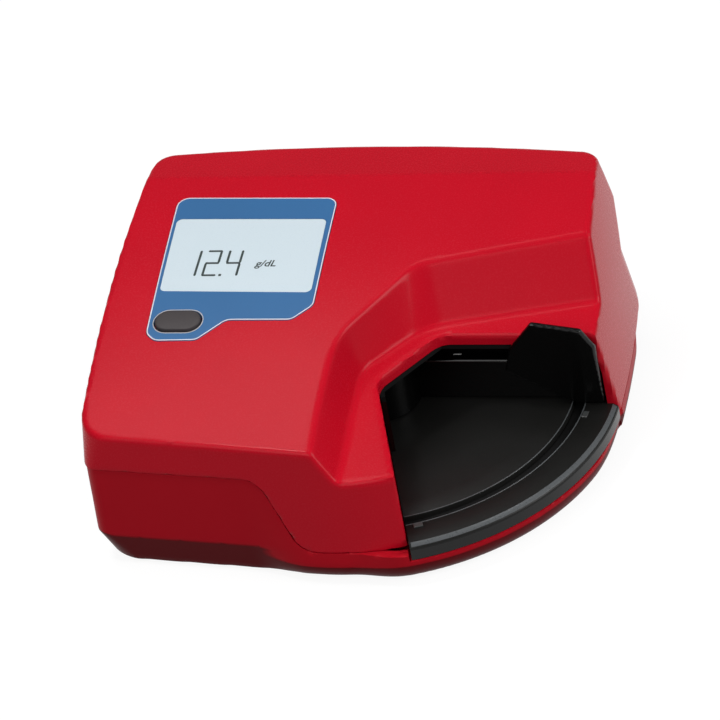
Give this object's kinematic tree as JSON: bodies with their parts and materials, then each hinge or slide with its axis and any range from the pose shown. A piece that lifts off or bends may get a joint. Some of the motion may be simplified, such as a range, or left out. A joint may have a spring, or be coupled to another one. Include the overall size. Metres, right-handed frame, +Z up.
{
  "type": "hemoglobin photometer",
  "caption": "Red desk-top hemoglobin photometer with a sloping display, a button and a black cuvette arm that swings out over a quarter-round tray.",
  "frame": {"origin": "on the table under the middle of the case's box", "axes": "+Z up, -Y the front with the display's foot and the tray, +X to the right"},
  "size_m": [0.144, 0.137, 0.0612],
  "materials": {
    "red_case": "satin moulded ABS",
    "red_base": "satin moulded ABS",
    "black_gloss": "semi-gloss moulded",
    "black_matt": "matt moulded",
    "battery_can": "printed sleeve",
    "steel": "plated",
    "brass": "stamped",
    "blue_film": "printed polyester film",
    "clear_plastic": "clear moulded",
    "display_glass": "pale liquid crystal glass",
    "white_plastic": "moulded",
    "circuit_board": "solder mask",
    "rubber": "moulded",
    "grey_button": "soft-touch moulded"
  },
  "bodies": {
    "case": {"upper_housing": "red_case", "lower_housing": "red_base", "battery_1": "battery_can", "battery_2": "battery_can", "battery_3": "battery_can", "battery_4": "battery_can", "contact_left_1": "steel", "contact_left_2": "steel", "contact_right_1": "steel", "contact_right_2": "steel", "tray": "black_gloss", "chamber_liner": "black_matt", "pivot_post": "steel", "pivot_washer": "brass", "pivot_screw": "steel", "keypad_film": "blue_film", "display_window": "clear_plastic", "display_panel": "display_glass", "display_carrier": "white_plastic", "contact_strip_1": "rubber", "contact_strip_2": "rubber", "main_board": "circuit_board", "processor": "black_matt", "memory_chip": "black_matt", "power_chip": "black_matt", "coil": "black_matt", "button_switch": "black_matt", "optic_block": "black_matt", "collimator_lens": "clear_plastic", "led_emitter": "clear_plastic", "detector_board": "circuit_board", "photo_detector": "black_matt", "power_inlet": "black_matt", "buzzer": "black_matt", "rubber_foot_1": "rubber", "rubber_foot_2": "rubber", "rubber_foot_3": "rubber", "rubber_foot_4": "rubber", "housing_screw_1": "steel", "housing_screw_2": "steel", "housing_screw_3": "steel"},
    "arm": {"swing_arm": "black_gloss", "cuvette_holder": "black_matt"},
    "button": {"button_cap": "grey_button"},
    "door": {"battery_door": "red_base"}
  },
  "joints": [
    {"name": "arm_swing", "type": "hinge", "parent": "case", "child": "arm", "pos_m": [0.00233, -0.00159, 0.0265], "axis": [0, 0, 1], "range_deg": [-58, 0]},
    {"name": "button_press", "type": "slide", "parent": "case", "child": "button", "axis": [0, -0.1644, 0.9864], "range_m": [-0.0005, 0], "stiffness_N_per_m": 600, "springref_m": 0.001},
    {"name": "door_slide", "type": "slide", "parent": "case", "child": "door", "axis": [-1, 0, 0], "range_m": [0, 0.018]}
  ]
}
